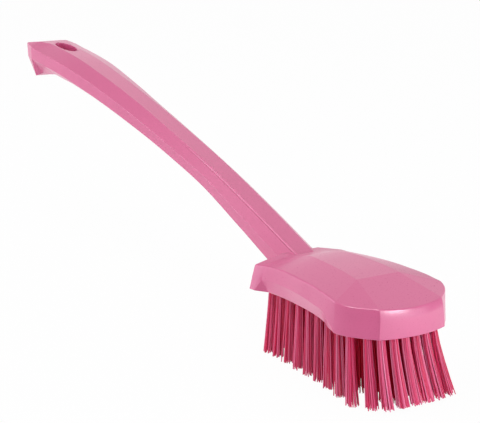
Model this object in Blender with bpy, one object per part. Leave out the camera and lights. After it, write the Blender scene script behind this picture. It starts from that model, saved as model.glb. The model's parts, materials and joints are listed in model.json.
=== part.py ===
"""Long-handled wash brush, in metres, +Z up, nose towards +X.

The block and the arched handle are one moulding. Every tuft of bristles is a
piece of its own: a bundle folded over a steel staple and driven into a blind
hole in the underside of the block. The brush stands on its bristle tips.
"""
import math

import bpy
import bmesh
import numpy as np

# The block
BLOCK_LENGTH = 0.0982
BLOCK_HALF_WIDTH = 0.0320
BLOCK_HEIGHT = 0.0215
NOSE_BOW = 0.0034
NOSE_TOP_BOW = 0.0033
CHEEK_BOW = 0.0018

# The handle
HANDLE_REACH = 0.3216
HANDLE_RISE = 0.0693
HANDLE_HALF_WIDTH = 0.0172
HANDLE_THICKNESS = 0.0115
LIP_DEPTH = 0.0125

# The hanging hole
HANG_HOLE_LENGTH = 0.0270
HANG_HOLE_WIDTH = 0.0100
# Depth at which the hole starts to widen towards the underside
FLARE_START = 0.0080

# The tufts
BRISTLE_LENGTH = 0.0355
NOSE_TRIM = 0.0025
TUFT_HOLE_RADIUS = 0.0023
TUFT_HOLE_DEPTH = 0.0100
TUFT_CLEARANCE = 0.0003
TUFT_STAND = 0.0004
STRAND_WIDTH = 0.0009
ROOT_SPREAD = 0.0011
TIP_SPREAD = 0.0023
STRAND_OVERLAP = 0.0015
STAPLE_LENGTH = 0.0030
STAPLE_WIDTH = 0.0008
STAPLE_HEIGHT = 0.0016

# How far a cutter runs past the face it cuts
CUT_OVERRUN = 0.0040

# Counts
HANDLE_STATIONS = 44
BLOCK_STATIONS = 22
REAR_SECTIONS = 3
NOSE_SEGMENTS = 8
CHEEK_SEGMENTS = 4
HANG_HOLE_SIDES = 32
TUFT_HOLE_SIDES = 12
TUFT_SIDES = 8
STRANDS_AROUND = 6
STRAND_SIDES = 3
REAR_TUFTS = 3
INNER_ROWS = 9
INNER_COLUMNS = 3

# Sections of the block from its rear end to the nose. Columns: share of the
# length from the nose, width of the deck edge, width and height of the line
# where the finger recess starts, width and height of the top edge of the side,
# width and height of the crown edge. Widths are shares of the half width,
# heights are shares of the block's height over the deck.
BLOCK_SECTION_SHARES = (
    (1.000, 0.958, 0.910, 0.278, 0.855, 0.574, 0.361, 0.740),
    (0.957, 0.943, 0.893, 0.273, 0.833, 0.604, 0.331, 0.740),
    (0.930, 0.880, 0.861, 0.278, 0.813, 0.623, 0.316, 0.749),
    (0.894, 0.789, 0.852, 0.305, 0.811, 0.646, 0.295, 0.780),
    (0.853, 0.771, 0.849, 0.336, 0.816, 0.668, 0.271, 0.834),
    (0.794, 0.747, 0.858, 0.363, 0.822, 0.700, 0.262, 0.915),
    (0.706, 0.726, 0.873, 0.390, 0.843, 0.735, 0.307, 0.973),
    (0.618, 0.720, 0.898, 0.408, 0.877, 0.758, 0.340, 0.996),
    (0.539, 0.723, 0.922, 0.417, 0.904, 0.771, 0.355, 1.000),
    (0.451, 0.741, 0.943, 0.399, 0.922, 0.776, 0.370, 0.996),
    (0.409, 0.759, 0.958, 0.390, 0.934, 0.776, 0.380, 0.987),
    (0.358, 0.837, 0.973, 0.386, 0.952, 0.769, 0.386, 0.973),
    (0.320, 0.904, 0.985, 0.354, 0.964, 0.762, 0.392, 0.960),
)
# Two sections of the side ahead of the crown's front edge, same columns
NOSE_SIDE_SHARES = (
    (0.300, 0.931, 0.997, 0.278, 0.970, 0.753),
    (0.260, 0.958, 1.000, 0.166, 0.979, 0.735),
)
# Nose corners: share of the length, of the half width and of the height
CHEEK_TOP_SHARES = (0.225, 0.989, 0.722)
CHEEK_FOOT_SHARES = (0.227, 0.988)
NOSE_TOP_SHARES = (0.059, 0.575, 0.664)
NOSE_FOOT_SHARES = (0.036, 0.602)

# Sections of the handle from inside the block to its end. Columns: share of
# the reach, share of the rise, half width of the flat top, half width, depth
# of the top chamfer, height of the side. Widths are shares of the handle's half
# width, depths are shares of its thickness.
HANDLE_SECTION_SHARES = (
    (-0.030, -0.043, 0.280, 0.657, 0.438, 0.640),
    (-0.013, -0.019, 0.285, 0.659, 0.437, 0.655),
    (0.121, 0.188, 0.302, 0.654, 0.420, 0.563),
    (0.254, 0.379, 0.313, 0.631, 0.387, 0.496),
    (0.388, 0.543, 0.324, 0.670, 0.403, 0.504),
    (0.523, 0.694, 0.324, 0.737, 0.420, 0.555),
    (0.661, 0.828, 0.341, 0.849, 0.378, 0.622),
    (0.801, 0.938, 0.352, 0.972, 0.353, 0.664),
    (0.897, 0.982, 0.350, 1.000, 0.335, 0.655),
)
# The end of the handle, same columns, then the share of the reach where the
# underside stands, its half width and how much of the lip hangs below the side
HANDLE_END_SHARES = (
    (0.925, 0.993, 0.390, 1.000, 0.330, 0.650, 0.921, 0.430, 0.78),
    (0.953, 1.000, 0.560, 0.990, 0.270, 0.690, 0.950, 0.520, 0.84),
    (1.000, 0.972, 0.740, 0.790, 0.040, 0.780, 0.967, 0.700, 1.00),
)
# The underside of the handle: share of the reach, how far its flat stands in
# from the side as a share of the half width, and how far it lies below the
# side as a share of the thickness. It swells into a keel round the hanging hole.
KEEL_SHARES = (
    (-0.030, 0.070, 0.104),
    (0.660, 0.070, 0.104),
    (0.739, 0.105, 0.157),
    (0.780, 0.310, 0.365),
    (0.825, 0.517, 0.590),
    (0.894, 0.593, 0.713),
    (0.925, 0.570, 0.860),
)
# Step along the reach over which the handle's slope is measured
SLOPE_SPAN_SHARE = 0.004
HANG_HOLE_PLACE_SHARE = 0.890
# Length and width of the hole where its cutter ends, shares of those at the top
FLARE_LENGTH_SHARE = 1.080
FLARE_WIDTH_SHARE = 2.100
# Height of the handle's top over the block's rear end, share of the block's height
ROOT_HEIGHT_SHARE = 0.834

# Places of the tufts on the deck: share of the length from the nose, share of
# the half width. The side rows come first, then the cheeks, then the nose.
SIDE_TUFT_SHARES = (
    (0.951, 0.602), (0.882, 0.590), (0.794, 0.587), (0.706, 0.590), (0.618, 0.600),
    (0.529, 0.610), (0.431, 0.633), (0.333, 0.663), (0.216, 0.729),
)
CHEEK_TUFT_SHARES = ((0.132, 0.599),)
FRONT_TUFT_SHARES = ((0.080, 0.479), (0.065, 0.286), (0.059, 0.096))
REAR_ROW_SHARE = 0.951
REAR_WIDTH_SHARE = 0.602
INNER_REAR_SHARE = 0.863
INNER_NOSE_SHARE = 0.147
INNER_WIDTH_SHARE = 0.294

# How the bristles lean: they fan out from a point over the deck, and the whole
# field has taken a slight set towards the nose and one side
SPLAY_LENGTH_SHARE = 0.100
SPLAY_WIDTH_SHARE = 0.250
SPLAY_CENTRE_SHARE = 0.500
LEAN_LENGTH_SHARE = 0.020
LEAN_WIDTH_SHARE = 0.095
# Where the trim of the bristles starts to rise towards the nose
TRIM_START_SHARE = 0.350

NOSE_X = BLOCK_LENGTH
DECK_Z = BRISTLE_LENGTH


def clear_scene():
    """Take every object out of the scene."""
    for obj in list(bpy.data.objects):
        bpy.data.objects.remove(obj, do_unlink=True)


def material(name, colour, roughness, metallic=0.0):
    """One plain Principled material."""
    mat = bpy.data.materials.new(name)
    mat.use_nodes = True
    shader = mat.node_tree.nodes["Principled BSDF"]
    shader.inputs["Base Color"].default_value = (*colour, 1.0)
    shader.inputs["Roughness"].default_value = roughness
    shader.inputs["Metallic"].default_value = metallic
    return mat


def smooth_table(rows, places):
    """Read a table between its rows without overshoot (monotone cubic)."""
    table = np.array(rows, dtype=float)
    order = np.argsort(table[:, 0])
    table = table[order]
    x = table[:, 0]
    steps = np.diff(x)
    places = np.asarray(places, dtype=float)
    columns = [places]
    for column in range(1, table.shape[1]):
        y = table[:, column]
        slopes = np.diff(y) / steps
        tangents = np.zeros_like(y)
        for i in range(1, len(y) - 1):
            if slopes[i - 1] * slopes[i] > 0:
                tangents[i] = 2 * slopes[i - 1] * slopes[i] / (slopes[i - 1] + slopes[i])
        tangents[0] = slopes[0]
        tangents[-1] = slopes[-1]
        index = np.clip(np.searchsorted(x, places) - 1, 0, len(steps) - 1)
        h = steps[index]
        t = (places - x[index]) / h
        value = ((2 * t**3 - 3 * t**2 + 1) * y[index]
                 + (t**3 - 2 * t**2 + t) * h * tangents[index]
                 + (-2 * t**3 + 3 * t**2) * y[index + 1]
                 + (t**3 - t**2) * h * tangents[index + 1])
        columns.append(value)
    return np.stack(columns, axis=1)


def from_nose(share):
    """World x of a share of the block's length, counted from the nose foot."""
    return NOSE_X - share * BLOCK_LENGTH


def mesh_object(name, vertices, faces, mat):
    """A closed mesh with its faces turned outward."""
    mesh = bpy.data.meshes.new(name)
    mesh.from_pydata([tuple(v) for v in vertices], [], faces)
    build = bmesh.new()
    build.from_mesh(mesh)
    bmesh.ops.recalc_face_normals(build, faces=build.faces)
    build.to_mesh(mesh)
    build.free()
    if mat is not None:
        mesh.materials.append(mat)
    obj = bpy.data.objects.new(name, mesh)
    bpy.context.collection.objects.link(obj)
    return obj


def apply_boolean(target, cutter, operation):
    """Join or cut with an exact Boolean and take the cutter away."""
    modifier = target.modifiers.new("cut", "BOOLEAN")
    modifier.operation = operation
    modifier.solver = "EXACT"
    modifier.object = cutter
    cutter.hide_render = True
    cutter.display_type = "WIRE"
    bpy.context.view_layer.update()
    depsgraph = bpy.context.evaluated_depsgraph_get()
    mesh = bpy.data.meshes.new_from_object(target.evaluated_get(depsgraph))
    target.modifiers.clear()
    old = target.data
    target.data = mesh
    bpy.data.meshes.remove(old)
    bpy.data.objects.remove(cutter, do_unlink=True)


def shade(obj, angle):
    """Smooth shading with sharp edges above an angle."""
    mesh = obj.data
    mesh.shade_smooth()
    mesh.set_sharp_from_angle(angle=angle)


def block_sections():
    """Sections of the block, with more of them where its lines curve."""
    rear = BLOCK_SECTION_SHARES[:REAR_SECTIONS]
    curved = BLOCK_SECTION_SHARES[REAR_SECTIONS:]
    places = np.linspace(curved[0][0], curved[-1][0], BLOCK_STATIONS)
    return list(rear) + [tuple(row) for row in smooth_table(curved, places)]


def bowed_edge(vertices, start, end, inner):
    """Numbers of the corners along an edge that bows outward between two
    corners, on the plane through them and an inner corner, or level without one."""
    x0, y0, z0 = vertices[start]
    x1, y1, z1 = vertices[end]
    length = math.hypot(x1 - x0, y1 - y0)
    side = math.copysign(1.0, y0)
    out_x = (y0 - y1) * side / length
    out_y = (x1 - x0) * side / length
    fall = 0.0
    if inner is not None:
        x, y, z = vertices[inner]
        inward = -((x - x0) * out_x + (y - y0) * out_y)
        along = ((x - x0) * (x1 - x0) + (y - y0) * (y1 - y0)) / length**2
        fall = (z - z0 - along * (z1 - z0)) / inward
    numbers = [start]
    for i in range(1, CHEEK_SEGMENTS):
        along = i / CHEEK_SEGMENTS
        bow = CHEEK_BOW * (1 - (2 * along - 1)**2)
        vertices.append((x0 + along * (x1 - x0) + out_x * bow,
                         y0 + along * (y1 - y0) + out_y * bow,
                         z0 + along * (z1 - z0) - fall * bow))
        numbers.append(len(vertices) - 1)
    return numbers + [end]


def make_block(mat):
    """The faceted block without its holes."""
    vertices = []
    faces = []

    def add(x, y, z):
        vertices.append((x, y, z))
        return len(vertices) - 1

    rings = []
    for share, deck, split, split_z, top, top_z, crown, crown_z in block_sections():
        x = from_nose(share)
        ring = {}
        for name, width, height in (("deck", deck, 0.0), ("split", split, split_z),
                                    ("top", top, top_z), ("crown", crown, crown_z)):
            z = DECK_Z + height * BLOCK_HEIGHT
            ring[name, -1] = add(x, -width * BLOCK_HALF_WIDTH, z)
            ring[name, 1] = add(x, width * BLOCK_HALF_WIDTH, z)
        rings.append(ring)
    names = ("deck", "split", "top", "crown")
    for back, front in zip(rings, rings[1:]):
        for side in (-1, 1):
            for low, high in zip(names, names[1:]):
                faces.append((back[low, side], front[high, side], back[high, side]))
                faces.append((back[low, side], front[low, side], front[high, side]))
        faces.append((back["crown", -1], front["crown", -1], front["crown", 1], back["crown", 1]))
        faces.append((back["deck", -1], front["deck", -1], front["deck", 1], back["deck", 1]))
    rear = rings[0]
    faces.append([rear[name, -1] for name in names] + [rear[name, 1] for name in reversed(names)])

    # The two short sections beside the crown's front edge
    last = rings[-1]
    crown = {side: last["crown", side] for side in (-1, 1)}
    for share, deck, split, split_z, top, top_z in NOSE_SIDE_SHARES:
        x = from_nose(share)
        ring = {}
        for name, width, height in (("deck", deck, 0.0), ("split", split, split_z), ("top", top, top_z)):
            z = DECK_Z + height * BLOCK_HEIGHT
            ring[name, -1] = add(x, -width * BLOCK_HALF_WIDTH, z)
            ring[name, 1] = add(x, width * BLOCK_HALF_WIDTH, z)
        for side in (-1, 1):
            for low, high in (("deck", "split"), ("split", "top")):
                faces.append((last[low, side], ring[low, side], ring[high, side], last[high, side]))
            faces.append((last["top", side], ring["top", side], crown[side]))
        faces.append((last["deck", -1], ring["deck", -1], ring["deck", 1], last["deck", 1]))
        last = ring

    # Cheeks
    share, width, height = CHEEK_TOP_SHARES
    foot_share, foot_width = CHEEK_FOOT_SHARES
    cheek_top = {}
    cheek_foot = {}
    for side in (-1, 1):
        cheek_top[side] = add(from_nose(share), side * width * BLOCK_HALF_WIDTH,
                              DECK_Z + height * BLOCK_HEIGHT)
        cheek_foot[side] = add(from_nose(foot_share), side * foot_width * BLOCK_HALF_WIDTH, DECK_Z)
        faces.append((last["split", side], last["top", side], cheek_top[side]))
        faces.append((last["split", side], cheek_top[side], cheek_foot[side]))
        faces.append((last["deck", side], last["split", side], cheek_foot[side]))
        faces.append((last["top", side], cheek_top[side], crown[side]))
    faces.append((last["deck", -1], cheek_foot[-1], cheek_foot[1], last["deck", 1]))

    # The bowed front wall, its top edge on the plane of the nose facet
    share, width, height = NOSE_TOP_SHARES
    foot_share, foot_width = NOSE_FOOT_SHARES
    x_top = from_nose(share)
    x_foot = from_nose(foot_share)
    z_top = DECK_Z + height * BLOCK_HEIGHT
    crown_x, _, crown_height = vertices[crown[-1]]
    slope = (crown_height - z_top) / (x_top - crown_x)
    tops = []
    feet = []
    for i in range(NOSE_SEGMENTS + 1):
        across = 2 * i / NOSE_SEGMENTS - 1
        bow = 1 - across**2
        x = x_top + NOSE_TOP_BOW * bow
        tops.append(add(x, across * width * BLOCK_HALF_WIDTH, z_top - slope * (x - x_top)))
        feet.append(add(x_foot + NOSE_BOW * bow, across * foot_width * BLOCK_HALF_WIDTH, DECK_Z))
    for i in range(NOSE_SEGMENTS):
        faces.append((feet[i], feet[i + 1], tops[i + 1], tops[i]))
    faces.append([crown[-1]] + tops + [crown[1]])

    # The cheeks bow outward a little, their top edges on the plane of the crown's side
    foot_rim = {}
    for side, top, foot in ((-1, tops[0], feet[0]), (1, tops[-1], feet[-1])):
        upper = bowed_edge(vertices, cheek_top[side], top, crown[side])
        lower = bowed_edge(vertices, cheek_foot[side], foot, None)
        for i in range(CHEEK_SEGMENTS):
            faces.append((lower[i], lower[i + 1], upper[i + 1], upper[i]))
        faces.append([crown[side]] + upper)
        foot_rim[side] = lower
    faces.append(foot_rim[-1][:-1] + feet + foot_rim[1][-2::-1])
    return mesh_object("brush_body", vertices, faces, mat)


def handle_line(share):
    """Top centre of the handle at a share of its reach, with its height."""
    rows = [row[:2] for row in HANDLE_SECTION_SHARES] + [row[:2] for row in HANDLE_END_SHARES]
    rise = smooth_table(rows, [share])[0, 1]
    root_z = DECK_Z + ROOT_HEIGHT_SHARE * BLOCK_HEIGHT
    return -share * HANDLE_REACH, root_z + rise * HANDLE_RISE


def make_handle():
    """The arched handle with its keel and its turned-down end."""
    vertices = []
    faces = []
    rows = [row[:6] for row in HANDLE_SECTION_SHARES] + [row[:6] for row in HANDLE_END_SHARES]
    end_start = HANDLE_END_SHARES[0][0]
    places = np.linspace(HANDLE_SECTION_SHARES[0][0], end_start, HANDLE_STATIONS)
    keel = smooth_table(KEEL_SHARES, places)[:, 1:]
    sections = [list(row) + [None] + list(under) for row, under in zip(smooth_table(rows, places), keel)]
    sections += [list(row) for row in HANDLE_END_SHARES[1:]]
    rings = []
    for row in sections:
        share, _, flat, half, drop, side_height, under_share, under, sink = row
        x, z = handle_line(share)
        x_back, z_back = handle_line(min(share + SLOPE_SPAN_SHARE, 1.0))
        x_front, z_front = handle_line(share - SLOPE_SPAN_SHARE)
        length = math.hypot(x_back - x_front, z_back - z_front)
        normal_x = (z_back - z_front) / length
        normal_z = -(x_back - x_front) / length
        half_width = half * HANDLE_HALF_WIDTH
        depth = drop * HANDLE_THICKNESS
        low = depth + side_height * HANDLE_THICKNESS
        if under_share is None:
            under_depth = low + sink * HANDLE_THICKNESS
            under_x = x - normal_x * under_depth
            under_z = z - normal_z * under_depth
            under_y = half_width - under * HANDLE_HALF_WIDTH
        else:
            under_x = -under_share * HANDLE_REACH
            under_z = z - low - sink * LIP_DEPTH
            under_y = under * HANDLE_HALF_WIDTH
        ring = []
        for y, px, pz in ((flat * HANDLE_HALF_WIDTH, x, z),
                          (half_width, x - normal_x * depth, z - normal_z * depth),
                          (half_width, x - normal_x * low, z - normal_z * low),
                          (under_y, under_x, under_z)):
            ring.append((y, px, pz))
        left = [(px, -y, pz) for y, px, pz in ring]
        right = [(px, y, pz) for y, px, pz in reversed(ring)]
        start = len(vertices)
        vertices.extend(left + right)
        rings.append(list(range(start, start + 8)))
    for back, front in zip(rings, rings[1:]):
        for i in (0, 1, 3, 5, 6, 7):
            j = (i + 1) % 8
            faces.append((back[i], back[j], front[j], front[i]))
        faces.append((back[2], back[3], front[3]))
        faces.append((back[2], front[3], front[2]))
        faces.append((back[5], back[4], front[4]))
        faces.append((back[5], front[4], front[5]))
    faces.append(list(rings[0]))
    faces.append(list(rings[-1]))
    return mesh_object("handle", vertices, faces, None)


def stack(name, centre, levels):
    """A solid through outlines in plan, one at each height, lowest first."""
    count = len(levels[0][1])
    cx, cy = centre
    vertices = [(cx + x, cy + y, z) for z, outline in levels for x, y in outline]
    top = len(vertices) - count
    faces = [tuple(range(count)), tuple(range(top, len(vertices)))]
    for start in range(0, top, count):
        for i in range(count):
            j = (i + 1) % count
            faces.append((start + i, start + j, start + count + j, start + count + i))
    return mesh_object(name, vertices, faces, None)


def prism(name, centre, outline, low, high):
    """An upright prism over an outline in plan."""
    return stack(name, centre, ((low, outline), (high, outline)))


def circle(radius, sides, turn=0.0):
    """Corner points of a regular outline."""
    return [(radius * math.cos(turn + 2 * math.pi * i / sides),
             radius * math.sin(turn + 2 * math.pi * i / sides)) for i in range(sides)]


def tuft_places():
    """Places of all tufts on the deck: the outer ring first, then the field."""
    places = []
    for kind, shares in (("side", SIDE_TUFT_SHARES), ("cheek", CHEEK_TUFT_SHARES),
                         ("front", FRONT_TUFT_SHARES)):
        for side in (-1, 1):
            for share, width in shares:
                places.append((kind, from_nose(share), side * width * BLOCK_HALF_WIDTH))
    for i in range(REAR_TUFTS):
        across = 2 * (i + 1) / (REAR_TUFTS + 1) - 1
        places.append(("rear", from_nose(REAR_ROW_SHARE), across * REAR_WIDTH_SHARE * BLOCK_HALF_WIDTH))
    for share in np.linspace(INNER_REAR_SHARE, INNER_NOSE_SHARE, INNER_ROWS):
        for across in np.linspace(-1, 1, INNER_COLUMNS):
            places.append(("inner", from_nose(share), across * INNER_WIDTH_SHARE * BLOCK_HALF_WIDTH))
    return places


def tip_of(x, y):
    """Where a tuft's centre line ends: leaning outward, trimmed round at the nose."""
    centre = from_nose(SPLAY_CENTRE_SHARE)
    start = from_nose(TRIM_START_SHARE)
    rise = max(0.0, (x - start) / (NOSE_X - start))
    return (x + SPLAY_LENGTH_SHARE * (x - centre) + LEAN_LENGTH_SHARE * BLOCK_LENGTH,
            y + SPLAY_WIDTH_SHARE * y + LEAN_WIDTH_SHARE * BLOCK_HALF_WIDTH,
            NOSE_TRIM * rise**2)


def make_tuft(name, x, y, mat):
    """One tuft: a butt in its hole, its staple across the fold and its strands."""
    plug_radius = TUFT_HOLE_RADIUS * math.cos(math.pi / TUFT_HOLE_SIDES) - TUFT_CLEARANCE
    plug_top = DECK_Z + TUFT_HOLE_DEPTH - TUFT_CLEARANCE - STAPLE_HEIGHT
    plug = prism(name, (x, y), circle(plug_radius, TUFT_SIDES, math.pi / TUFT_SIDES),
                 DECK_Z - TUFT_STAND, plug_top)
    half = STAPLE_LENGTH / 2
    thick = STAPLE_WIDTH / 2
    staple = prism("staple", (x, y), [(-half, -thick), (half, -thick), (half, thick), (-half, thick)],
                   plug_top - STAPLE_HEIGHT, plug_top + STAPLE_HEIGHT)
    apply_boolean(plug, staple, "UNION")
    tip_x, tip_y, tip_z = tip_of(x, y)
    root_z = DECK_Z - TUFT_STAND + STRAND_OVERLAP
    strands = [(0.0, 0.0)] + circle(1.0, STRANDS_AROUND, math.pi / STRANDS_AROUND)
    vertices = []
    faces = []
    section = circle(STRAND_WIDTH / math.sqrt(2), STRAND_SIDES, math.pi / STRAND_SIDES)
    for ox, oy in strands:
        start = len(vertices)
        for cx, cy, cz, spread in ((x, y, root_z, ROOT_SPREAD), (tip_x, tip_y, tip_z, TIP_SPREAD)):
            for sx, sy in section:
                vertices.append((cx + spread * ox + sx, cy + spread * oy + sy, cz))
        n = STRAND_SIDES
        faces.append(tuple(start + i for i in range(n)))
        faces.append(tuple(start + n + i for i in range(n)))
        for i in range(n):
            j = (i + 1) % n
            faces.append((start + i, start + j, start + n + j, start + n + i))
    bundle = mesh_object("strands", vertices, faces, None)
    apply_boolean(plug, bundle, "UNION")
    plug.data.materials.clear()
    plug.data.materials.append(mat)
    shade(plug, math.radians(40))
    return plug


clear_scene()
plastic = material("pink_polypropylene", (0.66, 0.15, 0.30), 0.38)
bristle = material("pink_polyester_bristle", (0.48, 0.05, 0.13), 0.45)

body = make_block(plastic)
apply_boolean(body, make_handle(), "UNION")

hole_x, hole_z = handle_line(HANG_HOLE_PLACE_SHARE)
outline = []
for px, py in circle(1.0, HANG_HOLE_SIDES):
    outline.append((px * HANG_HOLE_LENGTH / 2, py * HANG_HOLE_WIDTH / 2))
flare = [(px * FLARE_LENGTH_SHARE, py * FLARE_WIDTH_SHARE) for px, py in outline]
hang_cutter = stack("hang_cutter", (hole_x, 0.0),
                    ((hole_z - HANDLE_THICKNESS - LIP_DEPTH - CUT_OVERRUN, flare),
                     (hole_z - FLARE_START, outline), (hole_z + CUT_OVERRUN, outline)))
apply_boolean(body, hang_cutter, "DIFFERENCE")

tufts = tuft_places()
vertices = []
faces = []
for _, px, py in tufts:
    start = len(vertices)
    for z in (DECK_Z - CUT_OVERRUN, DECK_Z + TUFT_HOLE_DEPTH):
        for cx, cy in circle(TUFT_HOLE_RADIUS, TUFT_HOLE_SIDES):
            vertices.append((px + cx, py + cy, z))
    n = TUFT_HOLE_SIDES
    faces.append(tuple(start + i for i in range(n)))
    faces.append(tuple(start + n + i for i in range(n)))
    for i in range(n):
        j = (i + 1) % n
        faces.append((start + i, start + j, start + n + j, start + n + i))
apply_boolean(body, mesh_object("hole_cutters", vertices, faces, None), "DIFFERENCE")
body.data.materials.clear()
body.data.materials.append(plastic)
shade(body, math.radians(24))

counts = {}
pieces = [body]
for kind, px, py in tufts:
    counts[kind] = counts.get(kind, 0) + 1
    pieces.append(make_tuft("tuft_%s_%02d" % (kind, counts[kind]), px, py, bristle))

# The box of the whole brush stands with its bottom centre on the origin
low = np.full(3, np.inf)
high = np.full(3, -np.inf)
for obj in pieces:
    points = np.empty(len(obj.data.vertices) * 3)
    obj.data.vertices.foreach_get("co", points)
    points = points.reshape(-1, 3)
    low = np.minimum(low, points.min(axis=0))
    high = np.maximum(high, points.max(axis=0))
shift = np.array([-(low[0] + high[0]) / 2, -(low[1] + high[1]) / 2, -low[2]])
for obj in pieces:
    points = np.empty(len(obj.data.vertices) * 3)
    obj.data.vertices.foreach_get("co", points)
    points = (points.reshape(-1, 3) + shift).ravel()
    obj.data.vertices.foreach_set("co", points)
    obj.data.update()

total = sum(len(p.vertices) - 2 for obj in pieces for p in obj.data.polygons)
tuft_total = total - sum(len(p.vertices) - 2 for p in body.data.polygons)
print("box", (high - low).round(5), "shift", shift.round(6))
print("pieces", len(pieces), "strands", (STRANDS_AROUND + 1) * len(tufts))
print("triangles", total, "of them in tufts", tuft_total)
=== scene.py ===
# %% [markdown]
# # A long-handled wash brush
# The brush is one pink moulding, a faceted block that runs into an arched
# handle, with 56 tufts of stiff bristles in the underside of the block. This
# lesson dresses the CAD frame of that brush: it gives the moulding its soft
# edges and grain, and swaps each plain tuft for a bundle of thin filaments.

# %% Load the frame
import json
import math

import bmesh
import bpy
import numpy as np
from mathutils import Matrix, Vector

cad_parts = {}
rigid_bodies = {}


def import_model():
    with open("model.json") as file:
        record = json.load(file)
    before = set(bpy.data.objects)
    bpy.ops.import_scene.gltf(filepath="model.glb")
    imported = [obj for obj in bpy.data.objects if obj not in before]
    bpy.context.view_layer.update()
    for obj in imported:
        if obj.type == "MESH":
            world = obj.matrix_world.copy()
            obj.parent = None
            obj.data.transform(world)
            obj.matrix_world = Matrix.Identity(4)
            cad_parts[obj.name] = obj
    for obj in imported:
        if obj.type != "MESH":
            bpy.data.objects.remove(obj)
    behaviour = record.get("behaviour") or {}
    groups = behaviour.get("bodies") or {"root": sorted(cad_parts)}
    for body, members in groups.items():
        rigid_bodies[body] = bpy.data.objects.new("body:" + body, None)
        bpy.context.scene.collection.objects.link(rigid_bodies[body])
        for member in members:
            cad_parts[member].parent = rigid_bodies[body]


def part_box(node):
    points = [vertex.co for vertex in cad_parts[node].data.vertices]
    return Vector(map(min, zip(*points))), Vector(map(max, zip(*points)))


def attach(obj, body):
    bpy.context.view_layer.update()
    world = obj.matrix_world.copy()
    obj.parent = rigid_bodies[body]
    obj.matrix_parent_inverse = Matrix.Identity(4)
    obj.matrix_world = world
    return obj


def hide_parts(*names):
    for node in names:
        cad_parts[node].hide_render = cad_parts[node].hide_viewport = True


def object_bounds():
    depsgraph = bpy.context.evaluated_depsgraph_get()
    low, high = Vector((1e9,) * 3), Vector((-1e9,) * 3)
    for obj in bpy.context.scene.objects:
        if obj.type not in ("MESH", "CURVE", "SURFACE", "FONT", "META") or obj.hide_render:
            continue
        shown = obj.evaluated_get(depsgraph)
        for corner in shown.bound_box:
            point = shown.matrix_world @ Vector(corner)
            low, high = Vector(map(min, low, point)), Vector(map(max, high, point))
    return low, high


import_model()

CAD_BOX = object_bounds()
BODY_LOW, BODY_HIGH = (np.array(corner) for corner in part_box("brush_body"))
print("CAD box", CAD_BOX)
print("body box", BODY_LOW.round(5), BODY_HIGH.round(5))

# %% [markdown]
# ## The camera
# The photograph looks down on the nose from the brush's right front, about
# 15 degrees above the table, from 0.66 m away. A lens of 101 mm on a 36 mm
# sensor gives the same strong narrowing towards the end of the handle. The
# camera is placed by its compass angle, its height angle and a small roll,
# so that no lens shift is needed.

# %% Place the camera
AZIMUTH, ELEVATION, ROLL = (math.radians(angle) for angle in (58.2266, 14.9845, 0.7011))
SIGHT_LINE = np.array([math.sin(AZIMUTH) * math.cos(ELEVATION),
                       -math.cos(AZIMUTH) * math.cos(ELEVATION),
                       math.sin(ELEVATION)])
SIGHT_START = np.array([1.2114, -0.7202, 0.4237])
SIGHT_STEP = 0.6633
CAMERA_PLACE = SIGHT_START - SIGHT_STEP * SIGHT_LINE
FOCAL_PIXELS = 1352.25
IMAGE_WIDTH = 480
SENSOR_WIDTH = 36.0


def unit(vector):
    """The vector, or each row of vectors, divided by its length."""
    return vector / np.linalg.norm(vector, axis=-1, keepdims=True)


def pose_matrix(side, up, back, place):
    """The matrix that lays an object's x, y and z along three directions."""
    pose = np.eye(4)
    pose[:3] = np.column_stack([side, up, back, place])
    return Matrix(pose.tolist())


right = unit(np.cross([0.0, 0.0, 1.0], SIGHT_LINE))
up = np.cross(SIGHT_LINE, right)
camera_data = bpy.data.cameras.new("photo_camera")
camera_data.sensor_width = SENSOR_WIDTH
camera_data.lens = FOCAL_PIXELS / IMAGE_WIDTH * SENSOR_WIDTH
camera_data.clip_end = 50.0
camera = bpy.data.objects.new("photo_camera", camera_data)
bpy.context.scene.collection.objects.link(camera)
camera.matrix_world = pose_matrix(math.cos(ROLL) * right + math.sin(ROLL) * up,
                                  -math.sin(ROLL) * right + math.cos(ROLL) * up,
                                  SIGHT_LINE, CAMERA_PLACE)
bpy.context.scene.camera = camera
print("camera at", CAMERA_PLACE.round(4), "lens", round(camera_data.lens, 2), "mm")

# %% [markdown]
# ## Measures of the block
# The block is described by sections across it, like the ribs of a boat. The
# numbers repeat the part's own sizes, as shares of the block's length, half
# width and height, because a scene can't read the part's file. Shares let
# the whole block be made longer or wider by one number.

# %% Sizes of the block
BLOCK_LENGTH = 0.0982
BLOCK_HALF_WIDTH = 0.0320
BLOCK_HEIGHT = 0.0215
BRISTLE_LENGTH = 0.0355
NOSE_BOW = 0.0034
NOSE_TOP_BOW = 0.0033
# Share of the length, and share of the half width
NOSE_FOOT = (0.036, 0.602)
CHEEK_FOOT = (0.227, 0.988)
# The same, then share of the height
NOSE_TOP = (0.059, 0.575, 0.664)
CHEEK_TOP = (0.225, 0.989, 0.722)

# The deck is where the bristles start, and the nose's foot bows past its line
DECK_Z = BRISTLE_LENGTH
NOSE_X = BODY_HIGH[0] + NOSE_FOOT[0] * BLOCK_LENGTH - NOSE_BOW
REAR_X = NOSE_X - BLOCK_LENGTH
CENTRE_Y = (BODY_LOW[1] + BODY_HIGH[1]) / 2
print("nose at", round(NOSE_X, 5), "rear at", round(REAR_X, 5),
      "centre line y", round(CENTRE_Y, 5))

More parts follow.
